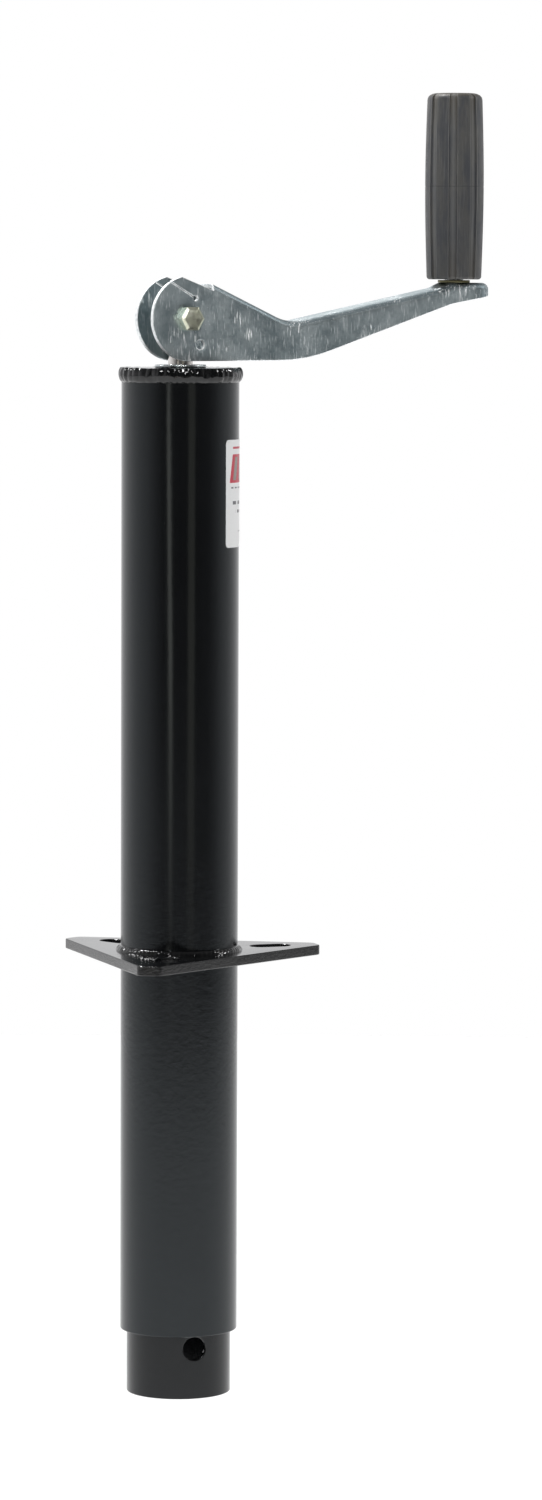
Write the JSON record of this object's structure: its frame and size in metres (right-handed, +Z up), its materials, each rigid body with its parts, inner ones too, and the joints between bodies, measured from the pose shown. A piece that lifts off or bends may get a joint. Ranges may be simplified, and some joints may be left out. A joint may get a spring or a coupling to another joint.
{
  "type": "trailer tongue jack",
  "caption": "Top-wind screw jack for a trailer tongue: steel tube with a welded triangular flange, telescoping ram and fold-over crank with a spinning grip.",
  "frame": {"origin": "centre of the mounting flange's underside, on the axis of the jack tube", "axes": "+Z up along the jack tube towards the crank, +X towards the flange's front slot, +Y completes the right-handed frame and lies along the ram's cross hole"},
  "size_m": [0.2128, 0.1278, 0.6359],
  "materials": {
    "black_paint": "glossy black powder coat",
    "zinc_plate": "bright zinc plate with fine press marks",
    "yellow_zinc": "yellow passivated zinc plate",
    "bearing_steel": "ground and hardened steel",
    "dark_steel": "greased plain steel",
    "brass": "pressed brass",
    "grip_plastic": "satin moulded charcoal plastic",
    "label": "printed vinyl label"
  },
  "bodies": {
    "housing": {"outer_tube": "black_paint", "top_cap": "black_paint", "top_weld": "black_paint", "mounting_flange": "black_paint", "flange_weld": "black_paint", "rating_label": "label", "top_washer": "zinc_plate", "bearing_upper_race": "bearing_steel"},
    "ball_cage": {"bearing_cage": "brass", "bearing_balls": "bearing_steel"},
    "screw": {"bearing_lower_race": "bearing_steel", "thrust_collar": "dark_steel", "collar_pin": "dark_steel", "lead_screw": "dark_steel", "stop_washer": "zinc_plate", "stop_pin": "dark_steel"},
    "crank": {"crank_arm": "zinc_plate", "pivot_bolt": "yellow_zinc", "pivot_nut": "zinc_plate", "grip_spindle": "zinc_plate", "grip_collar": "yellow_zinc", "grip_retaining_ring": "zinc_plate"},
    "grip": {"handle_grip": "grip_plastic", "grip_end_plug": "grip_plastic"},
    "ram": {"ram_tube": "black_paint", "drive_nut": "dark_steel", "nut_weld": "dark_steel"}
  },
  "joints": [
    {"name": "crank_spin", "type": "hinge", "parent": "housing", "child": "screw", "pos_m": [0, 0, 0.288], "axis": [0, 0, -1], "range_deg": [0, 50310]},
    {"name": "ram_slide", "type": "slide", "parent": "housing", "child": "ram", "axis": [0, 0, -1], "range_m": [0, 0.355]},
    {"name": "ball_orbit", "type": "hinge", "parent": "housing", "child": "ball_cage", "pos_m": [0, 0, 0.2776], "axis": [0, 0, -1], "range_deg": [0, 25155]},
    {"name": "handle_fold", "type": "hinge", "parent": "screw", "child": "crank", "pos_m": [0, 0, 0.3116], "axis": [0.2079, -0.9781, 0], "range_deg": [0, 200]},
    {"name": "grip_spin", "type": "hinge", "parent": "crank", "child": "grip", "pos_m": [0.15406, 0.03275, 0.3766], "axis": [0, 0, 1], "continuous": true}
  ],
  "couplings": [
    {"joint": "ram_slide", "follows": "crank_spin", "m_per_rad": 0.00040425},
    {"joint": "ball_orbit", "follows": "crank_spin", "ratio": 0.5}
  ]
}
